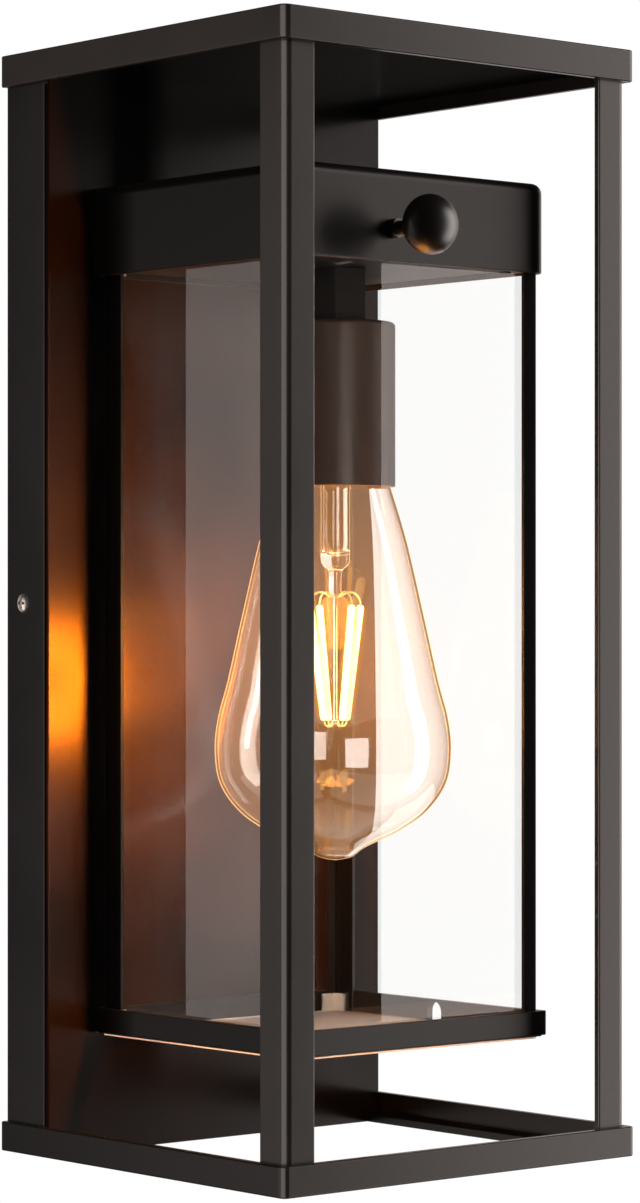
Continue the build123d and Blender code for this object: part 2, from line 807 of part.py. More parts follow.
def bulb_side(wall):
    neck_radius = cap_radius - 1.1 - wall
    pip_width = pip_radius - wall / 2
    pip_base_z = bulb_tip_z + pip_height + wall
    pip_curve = (pip_width**2 + pip_height**2) / (2 * pip_height)
    half_turn = asin(pip_width / pip_curve) / 2
    neck = Line((neck_radius, 50.0), (neck_radius, 45.0))
    shoulder = Spline(
        neck @ 1,
        (bulb_neck_radius - wall, sleeve_bottom_z + 3),
        (19.6 - wall, 17.4),
        (28.4 - wall, -21.2),
        (bulb_radius - wall, -40.5),
        (25.2 - wall, -57.4 + wall / 2),
        (pip_width, pip_base_z),
        tangents=[(0, -1), (-1, -0.3)],
    )
    pip = ThreePointArc(
        shoulder @ 1,
        (pip_curve * sin(half_turn), bulb_tip_z + wall + pip_curve * (1 - cos(half_turn))),
        (0, bulb_tip_z + wall),
    )
    return neck @ 0, pip @ 1


with BuildPart() as bulb_glass:
    with BuildSketch(lamp_plane):
        with BuildLine():
            outer_top, outer_tip = bulb_side(0)
            inner_top, inner_tip = bulb_side(bulb_wall)
            Line(outer_top, inner_top)
            Line(outer_tip, inner_tip)
        make_face()
    revolve(axis=lamp_axis)
save(bulb_glass, "bulb_glass")

# Screw cap, its black insulator and the tip contact
cap_sheet_thickness = 0.6
with BuildPart() as bulb_cap:
    with BuildSketch(lamp_plane):
        with Locations((0, cap_bottom_z)):
            Rectangle(cap_radius, cap_top_z - cap_bottom_z, align=(Align.MIN, Align.MIN))
            Rectangle(
                cap_radius - cap_sheet_thickness,
                cap_top_z - cap_bottom_z - cap_sheet_thickness,
                align=(Align.MIN, Align.MIN),
                mode=Mode.SUBTRACT,
            )
    revolve(axis=lamp_axis)
save(bulb_cap, "bulb_cap")

with BuildPart() as bulb_insulator:
    with BuildSketch(Plane.XY.offset(cap_top_z)):
        with Locations((0, lamp_y)):
            Circle(10.5)
    extrude(amount=contact_top_z - 1 - cap_top_z, taper=35)
save(bulb_insulator, "bulb_insulator")

with BuildPart() as bulb_contact:
    with BuildSketch(Plane.XY.offset(contact_top_z - 1)):
        with Locations((0, lamp_y)):
            Circle(4.6)
    extrude(amount=1.0, taper=30)
save(bulb_contact, "bulb_contact")

# Glass stem: a flare inside the neck, a tube and a thin rod that carries the wires
stem_bottom_z = filament_bottom_z - 1.0
with BuildPart() as bulb_stem:
    with BuildSketch(lamp_plane):
        with BuildLine():
            Polyline(
                (0, 49.0),
                (10.4, 49.0),
                (4.0, 36.0),
                (4.0, 11.0),
                (1.7, 8.3),
                (1.7, 2.9),
                (0.8, 2.2),
                (0.8, stem_bottom_z),
                (0, stem_bottom_z),
                close=True,
            )
        make_face()
    revolve(axis=lamp_axis)
save(bulb_stem, "bulb_stem")


def around_lamp(radius, angle, z):
    return (radius * cos(radians(angle)), lamp_y + radius * sin(radians(angle)), z)


with BuildPart() as filaments:
    for angle in filament_angles:
        bottom = Vector(*around_lamp(filament_bottom_radius, angle, filament_bottom_z))
        top = Vector(*around_lamp(filament_top_radius, angle, filament_top_z))
        with BuildSketch(Plane(origin=bottom, z_dir=top - bottom)):
            Circle(filament_radius)
        extrude(amount=(top - bottom).length)
save(filaments, "filaments")

# Support wires: hooks from the rod out to each filament's two ends
wire_radius = 0.25
with BuildPart() as support_wires:
    for angle in filament_angles:
        for start_radius, reach, start_z, end_z, rise in (
            (1.9, filament_top_radius, 1.6, filament_top_z + 0.3, 1.4),
            (1.0, filament_bottom_radius, filament_bottom_z - 0.3, filament_bottom_z - 0.2, -1.2),
        ):
            inner = around_lamp(start_radius, angle, start_z)
            crest = around_lamp((start_radius + reach) / 2, angle, max(start_z, end_z) + rise)
            outer = around_lamp(reach, angle, end_z)
            if rise < 0:
                crest = around_lamp((start_radius + reach) / 2, angle, min(start_z, end_z) + rise)
            with BuildLine() as hook:
                ThreePointArc(inner, crest, outer)
            with BuildSketch(Plane(origin=hook.line @ 0, z_dir=hook.line % 0)):
                Circle(wire_radius)
            sweep()
save(support_wires, "support_wires")
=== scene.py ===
import bpy
import bmesh
from math import cos, pi, radians, sin
from mathutils import Matrix, Vector


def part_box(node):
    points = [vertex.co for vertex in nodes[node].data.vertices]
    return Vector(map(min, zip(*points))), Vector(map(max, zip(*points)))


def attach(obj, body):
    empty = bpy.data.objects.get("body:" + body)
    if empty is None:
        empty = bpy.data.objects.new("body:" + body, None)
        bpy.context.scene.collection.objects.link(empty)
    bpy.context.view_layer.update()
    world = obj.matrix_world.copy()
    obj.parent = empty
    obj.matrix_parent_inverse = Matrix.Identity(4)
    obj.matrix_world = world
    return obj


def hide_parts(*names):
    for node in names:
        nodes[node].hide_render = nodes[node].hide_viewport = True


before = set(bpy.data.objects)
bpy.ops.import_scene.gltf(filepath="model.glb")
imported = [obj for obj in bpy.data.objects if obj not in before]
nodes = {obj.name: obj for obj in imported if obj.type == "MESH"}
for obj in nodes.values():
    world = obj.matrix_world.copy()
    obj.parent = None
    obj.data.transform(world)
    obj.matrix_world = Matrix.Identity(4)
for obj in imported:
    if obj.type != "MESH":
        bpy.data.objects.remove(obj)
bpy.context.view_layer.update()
scene = bpy.context.scene
mm = 0.001
print("frame loaded:", len(nodes), "nodes")


def middleOf(node):
    low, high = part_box(node)
    return (low + high) / 2


lampX, lampY = middleOf("hex_coupler").xy  # the line the bulb and its holder hang on

# ---- camera: a long lens level with the lantern, turned towards its near corner
cameraSetup = {"place": (-0.6988, -0.8815, -0.0066), "turn": 40.47, "lens": 116.3, "rise": 0.0212}
cameraData = bpy.data.cameras.new("camera")
cameraData.lens = cameraSetup["lens"]
cameraData.sensor_width = 36
cameraData.shift_y = cameraSetup["rise"]
cameraData.clip_start = 0.05
camera = bpy.data.objects.new("camera", cameraData)
camera.location = cameraSetup["place"]
camera.rotation_euler = (radians(90), 0, -radians(cameraSetup["turn"]))
scene.collection.objects.link(camera)
scene.camera = camera
scene.view_settings.view_transform = "Standard"
print("camera placed")


# ---- node helpers
def addNode(tree, kind, inputs=None, **settings):
    node = tree.nodes.new(kind)
    for name, value in settings.items():
        setattr(node, name, value)
    for name, value in (inputs or {}).items():
        socket = node.inputs[name]
        if isinstance(value, bpy.types.NodeSocket):
            tree.links.new(value, socket)
        else:
            socket.default_value = value
    return node


def calc(tree, operation, *values):
    return addNode(tree, "ShaderNodeMath", dict(enumerate(values)), operation=operation).outputs[0]


def blendColours(tree, share, first, second):
    mix = addNode(tree, "ShaderNodeMix", {0: share, 6: first, 7: second}, data_type="RGBA")
    return mix.outputs[2]


def spread(tree, value, low, high, outLow=0.0, outHigh=1.0):
    names = ("Value", "From Min", "From Max", "To Min", "To Max")
    node = addNode(tree, "ShaderNodeMapRange", dict(zip(names, (value, low, high, outLow, outHigh))))
    return node.outputs[0]


def noise(tree, place, scale, detail=2.0, rough=0.5):
    inputs = {"Vector": place, "Scale": scale, "Detail": detail, "Roughness": rough}
    return addNode(tree, "ShaderNodeTexNoise", inputs).outputs["Fac"]


def shaderGroup(name, inputs, outputs):
    group = bpy.data.node_groups.new(name, "ShaderNodeTree")
    for label, kind, value in inputs:
        socket = group.interface.new_socket(label, in_out="INPUT", socket_type="NodeSocket" + kind)
        socket.default_value = value
    for label, kind in outputs:
        group.interface.new_socket(label, in_out="OUTPUT", socket_type="NodeSocket" + kind)
    return group, group.nodes.new("NodeGroupInput").outputs, group.nodes.new("NodeGroupOutput").inputs


# ---- world and lights: the eye and clear glass meet plain white, everything else a dim studio
studio = {"white": 1.02, "upper": (0.020, 0.018, 0.017, 1), "lower": (0.030, 0.026, 0.023, 1)}
world = bpy.data.worlds.new("studio")
scene.world = world
world.use_nodes = True
sky = world.node_tree
lightPath = addNode(sky, "ShaderNodeLightPath")
bounces = calc(sky, "ADD", lightPath.outputs["Diffuse Depth"], lightPath.outputs["Glossy Depth"])
direct = calc(sky, "LESS_THAN", bounces, 0.5)
skyway = addNode(sky, "ShaderNodeTexCoord").outputs["Generated"]
rise = addNode(sky, "ShaderNodeSeparateXYZ", {0: skyway}).outputs["Z"]
dimSky = blendColours(sky, spread(sky, rise, -0.25, 0.02), studio["lower"], studio["upper"])
skyColour = blendColours(sky, direct, dimSky, (studio["white"],) * 3 + (1,))
sky.links.new(skyColour, sky.nodes["Background"].inputs["Color"])

# each box runs from one upright edge to the other, seen from above, and shines to its left
warm = (1.0, 0.90, 0.85)
softboxes = {
    "frontRightBox": {"start": (2.30, -2.73), "end": (2.44, -2.60), "low": -2.5, "tall": 5.0, "glare": 3.4},
    "farRightBox": {"start": (2.44, -2.60), "end": (4.40, -0.88), "low": -2.5, "tall": 5.0, "glare": 6.0},
    "rightBox": {"start": (3.30, -0.65), "end": (2.90, 1.05), "low": -1.5, "tall": 3.0, "glare": 2.0},
    "leftBox": {"start": (-1.287, 1.51), "end": (-1.90, 0.70), "low": -1.2, "tall": 1.65, "glare": 1.4},
    "cornerBox": {"start": (-2.05, 0.30), "end": (-1.05, -1.70), "low": -1.2, "tall": 2.6, "glare": 6.0},
    "backBox": {"start": (2.60, 1.20), "end": (-0.60, 2.80), "low": -1.3, "tall": 2.6, "glare": 0.7},
    "bulbLeftCard": {"start": (-1.33, 1.287), "end": (-1.477, 1.128), "low": -0.07, "tall": 1.0,
                     "glare": 18.0},
    "bulbFrontCard": {"start": (-0.721, -1.268), "end": (-0.195, -1.454), "low": -0.37, "tall": 0.56,
                      "glare": 18.0},
    "bulbRightCard": {"start": (1.42, -1.48), "end": (1.879, -0.75), "low": -1.6, "tall": 3.0, "glare": 8.0},
}


def linkedTo(name, objects, state):
    group = bpy.data.collections.new(name)
    for thing in objects:
        group.objects.link(thing)
    for item in group.collection_objects:
        item.light_linking.link_state = state
    return group


boxLamps = {}
for name, box in softboxes.items():
    start, end = Vector(box["start"]), Vector(box["end"])
    across = end - start
    middle = (start + end) / 2
    light = bpy.data.lights.new(name, "AREA")
    light.shape = "RECTANGLE"
    light.color = warm
    light.size, light.size_y = across.length, box["tall"]
    light.energy = box["glare"] * pi * across.length * box["tall"]
    lamp = bpy.data.objects.new(name, light)
    lamp.location = (middle.x, middle.y, box["low"] + box["tall"] / 2)
    shining = Vector((-across.y, across.x, 0))
    lamp.rotation_euler = shining.to_track_quat("-Z", "Y").to_euler()
    lamp.visible_camera = False
    lamp.visible_transmission = False
    scene.collection.objects.link(lamp)
    boxLamps[name] = lamp
turnedAway = {
    "backBox": ("EXCLUDE", ["roof_soffit"]),
    "farRightBox": ("EXCLUDE", ["back_pan", "roof_soffit"]),
    "cornerBox": ("INCLUDE", ["roof_cap", "corner_post_left", "corner_post_right", "base_rail_front"]),
}
for name, (state, kept) in turnedAway.items():
    group = linkedTo(name + "Receivers", [nodes[node] for node in kept], state)
    boxLamps[name].light_linking.receiver_collection = group

# the lit filaments' light, and a copy that only the back pan mirrors, set towards the side it is seen from
glows = {
    "filamentGlow": {"colour": (1.0, 0.36, 0.06), "power": 1.7, "radius": 8 * mm, "shift": (0, 0, 0)},
    "panGlow": {"colour": (1.0, 0.20, 0.005), "power": 7.5, "radius": 9 * mm,
                "shift": (-17 * mm, -8 * mm, -6 * mm)},
}
glowLamps = {}
for name, glow in glows.items():
    light = bpy.data.lights.new(name, "POINT")
    light.color = glow["colour"]
    light.energy = glow["power"]
    light.shadow_soft_size = glow["radius"]
    lamp = bpy.data.objects.new(name, light)
    lamp.location = middleOf("filaments") + Vector(glow["shift"])
    lamp.visible_camera = False
    lamp.visible_transmission = False
    scene.collection.objects.link(lamp)
    glowLamps[name] = lamp
glowLamps["panGlow"].light_linking.receiver_collection = linkedTo("panOnly", [nodes["back_pan"]], "INCLUDE")

floorSetup = {"drop": 1.7, "side": 9.0, "colour": (0.82, 0.81, 0.79, 1), "glow": 0.8}
half = floorSetup["side"] / 2
floorMesh = bpy.data.meshes.new("studioFloor")
corners = [(-half, -half), (half, -half), (half, half), (-half, half)]
floorMesh.from_pydata([(x, y, -floorSetup["drop"]) for x, y in corners], [], [(0, 1, 2, 3)])
studioFloor = bpy.data.objects.new("studioFloor", floorMesh)
scene.collection.objects.link(studioFloor)
floorMaterial = bpy.data.materials.new("studioFloor")
floorMaterial.use_nodes = True
floorShader = floorMaterial.node_tree.nodes["Principled BSDF"]
floorShader.inputs["Base Color"].default_value = floorSetup["colour"]
floorShader.inputs["Roughness"].default_value = 0.9
floorShader.inputs["Emission Color"].default_value = floorSetup["colour"]
floorShader.inputs["Emission Strength"].default_value = floorSetup["glow"]
floorMesh.materials.append(floorMaterial)
studioFloor.visible_glossy = False
studioFloor.visible_diffuse = False
print("studio lit")

# ---- shared effects: powder coat, plated metal, and the film on glass
coatGroup, coatIn, coatOut = shaderGroup(
    "powderCoat",
    [("Colour", "Color", (0.02, 0.02, 0.02, 1)), ("Worn Colour", "Color", (0.1, 0.1, 0.1, 1)),
     ("Grain Scale", "Float", 1500.0), ("Roughness", "Float", 0.4), ("Wear", "Float", 0.3)],
    [("Colour", "Color"), ("Roughness", "Float"), ("Height", "Float")],
)
place = addNode(coatGroup, "ShaderNodeTexCoord").outputs["Object"]
grain = noise(coatGroup, place, coatIn["Grain Scale"], 2.0)
cloud = noise(coatGroup, place, 24.0, 3.0)
edge = addNode(coatGroup, "ShaderNodeBevel", {"Radius": 0.7 * mm}, samples=4).outputs[0]
face = addNode(coatGroup, "ShaderNodeNewGeometry").outputs["Normal"]
bend = addNode(coatGroup, "ShaderNodeVectorMath", {0: edge, 1: face},
               operation="DOT_PRODUCT").outputs["Value"]
worn = calc(coatGroup, "MULTIPLY", spread(coatGroup, bend, 0.995, 0.9), coatIn["Wear"])
patchy = calc(coatGroup, "MULTIPLY", worn, spread(coatGroup, cloud, 0.35, 0.6, 0.4, 1.0))
dusty = blendColours(coatGroup, spread(coatGroup, cloud, 0.3, 0.75, 0.0, 0.10), coatIn["Colour"],
                     coatIn["Worn Colour"])
coatGroup.links.new(blendColours(coatGroup, patchy, dusty, coatIn["Worn Colour"]), coatOut["Colour"])
speckled = calc(coatGroup, "ADD", coatIn["Roughness"], spread(coatGroup, grain, 0.3, 0.7, -0.01, 0.02))
coatGroup.links.new(calc(coatGroup, "ADD", speckled, spread(coatGroup, cloud, 0.3, 0.7, -0.015, 0.02)),
                    coatOut["Roughness"])
coatGroup.links.new(grain, coatOut["Height"])

platedGroup, platedIn, platedOut = shaderGroup(
    "platedMetal",
    [("Colour", "Color", (0.6, 0.6, 0.6, 1)), ("Stain", "Color", (0.3, 0.3, 0.3, 1)),
     ("Stretch", "Vector", (1.0, 1.0, 1.0)), ("Roughness", "Float", 0.35), ("Stain Amount", "Float", 0.3)],
    [("Colour", "Color"), ("Roughness", "Float"), ("Height", "Float")],
)
place = addNode(platedGroup, "ShaderNodeTexCoord").outputs["Object"]
stretched = addNode(platedGroup, "ShaderNodeVectorMath", {0: place, 1: platedIn["Stretch"]},
                    operation="MULTIPLY")
lines = noise(platedGroup, stretched.outputs[0], 900.0, 3.0)
blotch = noise(platedGroup, place, 60.0, 3.0)
stained = calc(platedGroup, "MULTIPLY", spread(platedGroup, blotch, 0.42, 0.68), platedIn["Stain Amount"])
platedGroup.links.new(blendColours(platedGroup, stained, platedIn["Colour"], platedIn["Stain"]),
                      platedOut["Colour"])
platedGroup.links.new(calc(platedGroup, "ADD", platedIn["Roughness"],
                           spread(platedGroup, lines, 0.3, 0.7, -0.06, 0.1)), platedOut["Roughness"])
platedGroup.links.new(lines, platedOut["Height"])

filmGroup, filmIn, filmOut = shaderGroup(
    "glassFilm",
    [("Colour", "Color", (1, 1, 1, 1)), ("Film", "Color", (0.9, 0.9, 0.9, 1)), ("Roughness", "Float", 0.0),
     ("Amount", "Float", 0.02)],
    [("Colour", "Color"), ("Roughness", "Float")],
)
place = addNode(filmGroup, "ShaderNodeTexCoord").outputs["Object"]
smear = noise(filmGroup, place, 18.0, 4.0, 0.6)
specks = spread(filmGroup, noise(filmGroup, place, 420.0, 2.0), 0.72, 0.8)
film = calc(filmGroup, "MULTIPLY", spread(filmGroup, smear, 0.45, 0.8), filmIn["Amount"])
speckled = calc(filmGroup, "MULTIPLY", specks, filmIn["Amount"])
filmGroup.links.new(blendColours(filmGroup, speckled, filmIn["Colour"], filmIn["Film"]), filmOut["Colour"])
filmGroup.links.new(calc(filmGroup, "ADD", filmIn["Roughness"], film), filmOut["Roughness"])


# ---- materials
def newMaterial(name, **plain):
    material = bpy.data.materials.new(name)
    material.use_nodes = True
    tree = material.node_tree
    shader = tree.nodes["Principled BSDF"]
    for label, value in plain.items():
        shader.inputs[label.replace("_", " ")].default_value = value
    return material, tree, shader


def useGroup(tree, shader, group, bump, distance, **values):
    inputs = {label.replace("_", " "): value for label, value in values.items()}
    node = addNode(tree, "ShaderNodeGroup", node_tree=group)
    for label, value in inputs.items():
        node.inputs[label].default_value = value
    tree.links.new(node.outputs["Colour"], shader.inputs["Base Color"])
    tree.links.new(node.outputs["Roughness"], shader.inputs["Roughness"])
    if bump:
        heights = {"Height": node.outputs["Height"], "Strength": bump, "Distance": distance}
        tree.links.new(addNode(tree, "ShaderNodeBump", heights).outputs[0], shader.inputs["Normal"])
    return node


def paint(name, colour, worn, roughness, wear=0.3, grain=1500.0, bump=0.12, **plain):
    material, tree, shader = newMaterial(name, **plain)
    useGroup(tree, shader, coatGroup, bump, 0.08 * mm, Colour=colour, Worn_Colour=worn,
             Grain_Scale=grain, Roughness=roughness, Wear=wear)
    return material


def metal(name, colour, stain, roughness, stretch=(1, 1, 1), amount=0.3, bump=0.1):
    material, tree, shader = newMaterial(name, Metallic=1.0)
    useGroup(tree, shader, platedGroup, bump, 0.03 * mm, Colour=colour, Stain=stain, Stretch=stretch,
             Roughness=roughness, Stain_Amount=amount)
    return material


def moulded(name, colour, roughness, grain=900.0, bump=0.08, **plain):
    paler = tuple(min(1.0, part * 1.35 + 0.02) for part in colour[:3]) + (1,)
    return paint(name, colour, paler, roughness, 0.25, grain, bump, **plain)


def glass(name, colour, film, roughness, shadow, amount=0.0, **plain):
    material, tree, shader = newMaterial(name, Transmission_Weight=1.0, **plain)
    useGroup(tree, shader, filmGroup, 0, 0, Colour=colour, Film=film, Roughness=roughness, Amount=amount)
    clear = addNode(tree, "ShaderNodeBsdfTransparent", {"Color": shadow})
    rays = addNode(tree, "ShaderNodeLightPath")
    mix = addNode(tree, "ShaderNodeMixShader", {0: rays.outputs["Is Shadow Ray"]})
    tree.links.new(shader.outputs[0], mix.inputs[1])
    tree.links.new(clear.outputs[0], mix.inputs[2])
    tree.links.new(mix.outputs[0], tree.nodes["Material Output"].inputs["Surface"])
    return material


bronze = (0.004, 0.0034, 0.003, 1)
bronzeWorn = (0.034, 0.028, 0.023, 1)
framePaint = paint("framePaint", bronze, bronzeWorn, 0.24, bump=0.02, Specular_IOR_Level=0.22)
# the back pan: a darker copy of the bronze paint, painted shade that keeps the pan dark where the lamps would
# light it
panShadedPaint = paint("panShadedPaint", (0.0012, 0.0009, 0.0007, 1), bronzeWorn, 0.20, wear=0.1, bump=0.008,
                 Specular_IOR_Level=0.32)
headPaint = paint("headPaint", bronze, bronzeWorn, 0.34, bump=0.02, Specular_IOR_Level=0.18)
# the lampholder sleeve: a lighter, warmer copy of the bronze paint, painted warm light from the bulb glowing
# just below it
sleeveWarmLitPaint = paint("sleeveWarmLitPaint", (0.022, 0.013, 0.009, 1), bronzeWorn, 0.34, bump=0.02,
                    Specular_IOR_Level=0.12)
knobPaint = paint("knobPaint", (0.002, 0.0015, 0.0012, 1), (0.02, 0.016, 0.013, 1), 0.36, wear=0.1, bump=0.05)
zincSteel = metal("zincSteel", (0.62, 0.61, 0.58, 1), (0.38, 0.36, 0.32, 1), 0.34)
screwNickel = metal("screwNickel", (0.86, 0.82, 0.76, 1), (0.5, 0.46, 0.4, 1), 0.30, amount=0.2)
contactBrass = metal("contactBrass", (0.72, 0.50, 0.20, 1), (0.35, 0.22, 0.09, 1), 0.28)
capBrass = metal("capBrass", (0.78, 0.60, 0.30, 1), (0.45, 0.32, 0.14, 1), 0.24)
solder = metal("solder", (0.55, 0.55, 0.54, 1), (0.3, 0.3, 0.3, 1), 0.45)
# the support wires: a gold tint and a weak warm emission, painted glow standing in for the filaments' light
# on the wires
wireSteel = metal("wireSteel", (0.80, 0.62, 0.38, 1), (0.5, 0.36, 0.2, 1), 0.25)
wirePaintedGlowShader = wireSteel.node_tree.nodes["Principled BSDF"]
wirePaintedGlowShader.inputs["Emission Color"].default_value = (1.0, 0.5, 0.12, 1)
wirePaintedGlowShader.inputs["Emission Strength"].default_value = 0.7
groundGreen = paint("groundGreen", (0.02, 0.20, 0.05, 1), (0.4, 0.38, 0.3, 1), 0.3, wear=0.8, Metallic=0.6)
porcelain = moulded("porcelain", (0.74, 0.72, 0.66, 1), 0.22, Coat_Weight=0.5)
capGlass = moulded("capGlass", (0.008, 0.008, 0.01, 1), 0.15)
foam = moulded("foam", (0.022, 0.022, 0.022, 1), 0.95, grain=1100.0, bump=0.9)
grommetRubber = moulded("grommetRubber", (0.018, 0.018, 0.018, 1), 0.6)
whiteVinyl = moulded("whiteVinyl", (0.68, 0.67, 0.63, 1), 0.42)
blackVinyl = moulded("blackVinyl", (0.014, 0.014, 0.014, 1), 0.42)
greenVinyl = moulded("greenVinyl", (0.02, 0.22, 0.05, 1), 0.42)
connectorShell = moulded("connectorShell", (0.70, 0.22, 0.02, 1), 0.4)
paneGlass = glass("paneGlass", (0.985, 0.992, 0.988, 1), (0.9, 0.9, 0.9, 1), 0.0, (0.92, 0.93, 0.92, 1),
                  IOR=1.5)
floorGlass = glass("floorGlass", (0.86, 0.82, 0.76, 1), (0.95, 0.93, 0.9, 1), 0.42, (0.5, 0.48, 0.45, 1),
                   amount=0.1, IOR=1.45)
bulbTint = glass("bulbTint", (0.998, 0.988, 0.965, 1), (0.9, 0.8, 0.6, 1), 0.0, (0.99, 0.97, 0.93, 1),
                 amount=0.0, IOR=1.47)
stemGlass = glass("stemGlass", (0.99, 0.97, 0.93, 1), (0.9, 0.9, 0.9, 1), 0.0, (0.97, 0.95, 0.9, 1),
                  amount=0.0, IOR=1.47)


# paints glow onto glass: a faint warm veil of painted glow over the whole surface, rising to a painted rim
# highlight where the glass is seen edge-on, and with reach set, fading away from the filaments
def paintGlassGlow(material, paintedVeil, paintedVeilStrength, rim, paintedRimStrength, paintedRimStart, reach=0.0):
    tree = material.node_tree
    shader = tree.nodes["Principled BSDF"]
    facing = addNode(tree, "ShaderNodeLayerWeight", {"Blend": 0.5}).outputs["Facing"]
    edge = spread(tree, facing, paintedRimStart, 1.0)
    tree.links.new(blendColours(tree, edge, paintedVeil, rim), shader.inputs["Emission Color"])
    strength = spread(tree, facing, paintedRimStart, 1.0, paintedVeilStrength, paintedRimStrength)
    if reach:
        place = addNode(tree, "ShaderNodeTexCoord").outputs["Object"]
        heart = middleOf("filaments")
        away = addNode(tree, "ShaderNodeVectorMath", {0: place, 1: heart}, operation="DISTANCE")
        fade = spread(tree, away.outputs["Value"], 0.2 * reach, reach, 1.0, 0.3)
        strength = calc(tree, "MULTIPLY", strength, fade)
    tree.links.new(strength, shader.inputs["Emission Strength"])


# bulb and stem glass: painted glow and painted rim highlights standing in for the filaments' light caught in
# the glass
paintGlassGlow(bulbTint, (1.0, 0.42, 0.14, 1), 0.10, (1.0, 0.58, 0.15, 1), 5.0, 0.86, 75 * mm)
paintGlassGlow(stemGlass, (1.0, 0.55, 0.20, 1), 0.02, (1.0, 0.74, 0.38, 1), 2.6, 0.72)

filamentHeat = {"core": (1.0, 0.66, 0.32, 1), "rim": (1.0, 0.40, 0.05, 1), "strength": 5.0}
glowingFilament, tree, shader = newMaterial("glowingFilament", Roughness=0.5)
shader.inputs["Base Color"].default_value = (0.9, 0.6, 0.2, 1)
facing = addNode(tree, "ShaderNodeLayerWeight", {"Blend": 0.4}).outputs["Facing"]
speckle = noise(tree, addNode(tree, "ShaderNodeTexCoord").outputs["Object"], 900.0)
rim = calc(tree, "ADD", facing, spread(tree, speckle, 0.35, 0.65, -0.15, 0.15))
heat = blendColours(tree, rim, filamentHeat["core"], filamentHeat["rim"])
tree.links.new(heat, shader.inputs["Emission Color"])
shader.inputs["Emission Strength"].default_value = filamentHeat["strength"]

# the bloom round each stick: clear at its rim, so it reads as light and not as a sleeve
filamentBloom, tree, shader = newMaterial("filamentBloom", Roughness=1.0, Specular_IOR_Level=0.0)
shader.inputs["Base Color"].default_value = (0, 0, 0, 1)
shader.inputs["Emission Color"].default_value = (1.0, 0.36, 0.03, 1)
shader.inputs["Emission Strength"].default_value = 1.0
facing = addNode(tree, "ShaderNodeLayerWeight", {"Blend": 0.5}).outputs["Facing"]
soft = calc(tree, "POWER", calc(tree, "SUBTRACT", 1.0, facing), 1.6)
tree.links.new(calc(tree, "MULTIPLY", soft, 0.3), shader.inputs["Alpha"])
print("materials made")

finishes = {
    framePaint: ["roof_cap", "roof_soffit", "corner_post_left", "corner_post_right", "base_rail_front",
                 "base_rail_left", "base_rail_right"],
    panShadedPaint: ["back_pan"],
    headPaint: ["head_shell", "lamp_carrier", "hex_coupler", "shade_rail_front", "shade_rail_rear",
                "shade_rail_left", "shade_rail_right", "shade_post_front_left", "shade_post_front_right",
                "shade_post_rear_left", "shade_post_rear_right", "shade_collar"],
    sleeveWarmLitPaint: ["socket_sleeve"],
    knobPaint: ["knob_bush", "knob_washer", "knob_ball"],
    zincSteel: ["wall_bracket", "screw_washer", "lock_washer", "lock_nut", "threaded_nipple",
                "socket_nut", "knob_stud", "pane_clips", "head_screws"],
    screwNickel: ["side_screws"],
    groundGreen: ["ground_screw"],
    porcelain: ["socket_body"],
    contactBrass: ["screw_shell", "centre_contact", "ring_terminals"],
    capBrass: ["bulb_cap"],
    solder: ["bulb_contact"],
    capGlass: ["bulb_insulator"],
    foam: ["wall_gasket"],
    grommetRubber: ["lead_grommet", "floor_seal"],
    whiteVinyl: ["lead_neutral"],
    blackVinyl: ["lead_live"],
    greenVinyl: ["ground_lead"],
    connectorShell: ["wire_connectors"],
    paneGlass: ["pane_front", "pane_left", "pane_right"],
    floorGlass: ["floor_pane"],
    bulbTint: ["bulb_glass"],
    stemGlass: ["bulb_stem"],
    glowingFilament: ["filaments"],
    wireSteel: ["support_wires"],
}
for material, names in finishes.items():
    for name in names:
        mesh = nodes[name].data
        mesh.materials.clear()
        mesh.materials.append(material)
print("nodes finished")



# ---- pieces made here in place of plain ones
def addPiece(name, mesh, material, body, slot, *replaced):
    mesh.materials.clear()
    mesh.materials.append(material)
    piece = bpy.data.objects.new(name, mesh)
    scene.collection.objects.link(piece)
    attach(piece, body)
    if replaced:
        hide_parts(*replaced)
    return piece


def smoothLine(points, steps):
    line = []
    last = len(points) - 1
    for index in range(last):
        near = [min(max(index + shift, 0), last) for shift in (-1, 0, 1, 2)]
        before, start, end, after = (Vector(points[place]) for place in near)
        for step in range(steps):
            t = step / steps
            bend = 2 * start + (end - before) * t + (2 * before - 5 * start + 4 * end - after) * t**2
            line.append((bend + (3 * start - before - 3 * end + after) * t**3) / 2)
    line.append(Vector(points[-1]))
    return line


def lathe(name, outline, turns, closed=False):
    mesh = bpy.data.meshes.new(name)
    sheet = bmesh.new()
    rings = []
    for radius, height in outline:
        if radius < 1e-6:
            rings.append([sheet.verts.new((lampX, lampY, height))])
            continue
        ring = []
        for turn in range(turns):
            angle = 2 * pi * turn / turns
            ring.append(sheet.verts.new((lampX + radius * cos(angle), lampY + radius * sin(angle), height)))
        rings.append(ring)
    pairs = list(zip(rings, rings[1:] + (rings[:1] if closed else [])))
    for first, second in pairs if closed else pairs[:len(rings) - 1]:
        for turn in range(turns):
            after = (turn + 1) % turns
            corners = [first[turn % len(first)], first[after % len(first)],
                       second[after % len(second)], second[turn % len(second)]]
            corners = [corner for place, corner in enumerate(corners) if corner not in corners[:place]]
            if len(corners) > 2:
                sheet.faces.new(corners)
    bmesh.ops.recalc_face_normals(sheet, faces=sheet.faces)
    for face in sheet.faces:
        face.smooth = True
    sheet.to_mesh(mesh)
    sheet.free()
    return mesh


